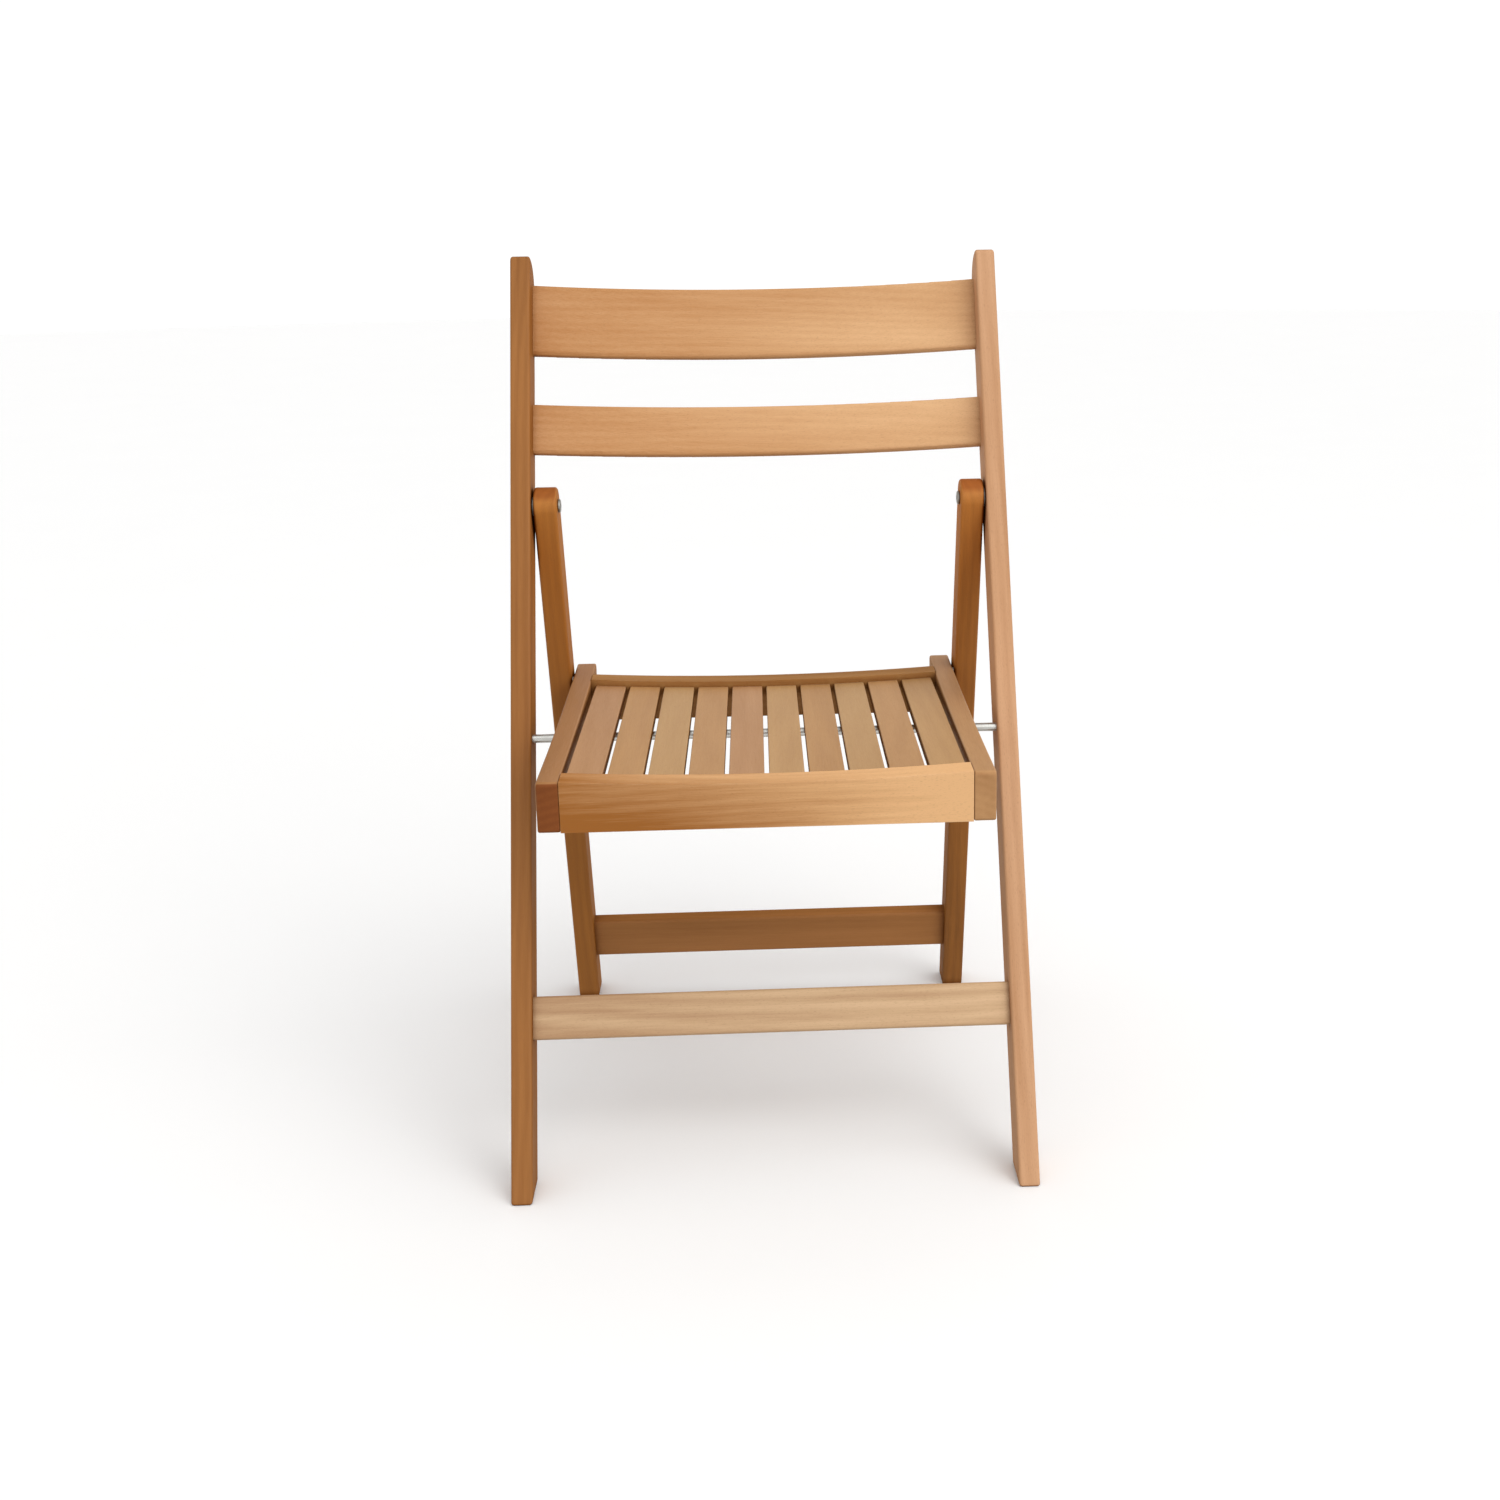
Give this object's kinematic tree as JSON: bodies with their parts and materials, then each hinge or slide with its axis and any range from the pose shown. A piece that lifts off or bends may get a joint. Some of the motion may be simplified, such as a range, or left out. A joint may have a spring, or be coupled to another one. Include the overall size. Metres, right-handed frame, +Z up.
{
  "type": "folding chair",
  "caption": "Folding side chair of solid wood with a slatted dished seat and a bowed two-slat back; seat and rear legs fold flat against the posts.",
  "frame": {"origin": "on the floor, below the centre of the open chair's bounding box", "axes": "+Z up, +X to the right as seen by someone facing the chair's front, +Y from the front of the chair to its back"},
  "size_m": [0.472, 0.501, 0.8106],
  "materials": {
    "post_wood_dark": "satin",
    "post_wood_light": "satin",
    "back_wood": "satin",
    "leg_wood": "satin",
    "seat_frame_wood": "satin",
    "seat_slat_wood": "satin",
    "dowel_wood": "raw",
    "steel": "zinc plated"
  },
  "bodies": {
    "front_frame": {"left_post": "post_wood_dark", "right_post": "post_wood_light", "top_back_slat": "back_wood", "lower_back_slat": "back_wood", "front_stretcher": "post_wood_light", "seat_rod": "steel", "left_leg_bolt": "steel", "right_leg_bolt": "steel", "left_sleeve_nut": "steel", "right_sleeve_nut": "steel", "left_leg_washer": "steel", "right_leg_washer": "steel"},
    "seat": {"left_seat_rail": "seat_frame_wood", "right_seat_rail": "seat_frame_wood", "front_seat_rail": "seat_frame_wood", "rear_seat_rail": "seat_frame_wood", "seat_slat_1": "seat_slat_wood", "seat_slat_2": "seat_slat_wood", "seat_slat_3": "seat_slat_wood", "seat_slat_4": "seat_slat_wood", "seat_slat_5": "seat_slat_wood", "seat_slat_6": "seat_slat_wood", "seat_slat_7": "seat_slat_wood", "seat_slat_8": "seat_slat_wood", "seat_slat_9": "seat_slat_wood", "seat_slat_10": "seat_slat_wood", "left_seat_pin": "steel", "right_seat_pin": "steel", "seat_frame_dowels": "dowel_wood"},
    "rear_legs": {"left_rear_leg": "leg_wood", "right_rear_leg": "leg_wood", "rear_stretcher": "leg_wood"}
  },
  "joints": [
    {"name": "seat_fold", "type": "hinge", "parent": "front_frame", "child": "seat", "pos_m": [0, -0.04646, 0.37721], "axis": [-1, 0, 0], "range_deg": [0, 112]},
    {"name": "rear_legs_fold", "type": "hinge", "parent": "front_frame", "child": "rear_legs", "pos_m": [0, 0.05454, 0.57954], "axis": [-1, 0, 0], "range_deg": [0, 37.7]}
  ],
  "couplings": [
    {"joint": "rear_legs_fold", "follows": "seat_fold", "ratio": 0.33661}
  ]
}
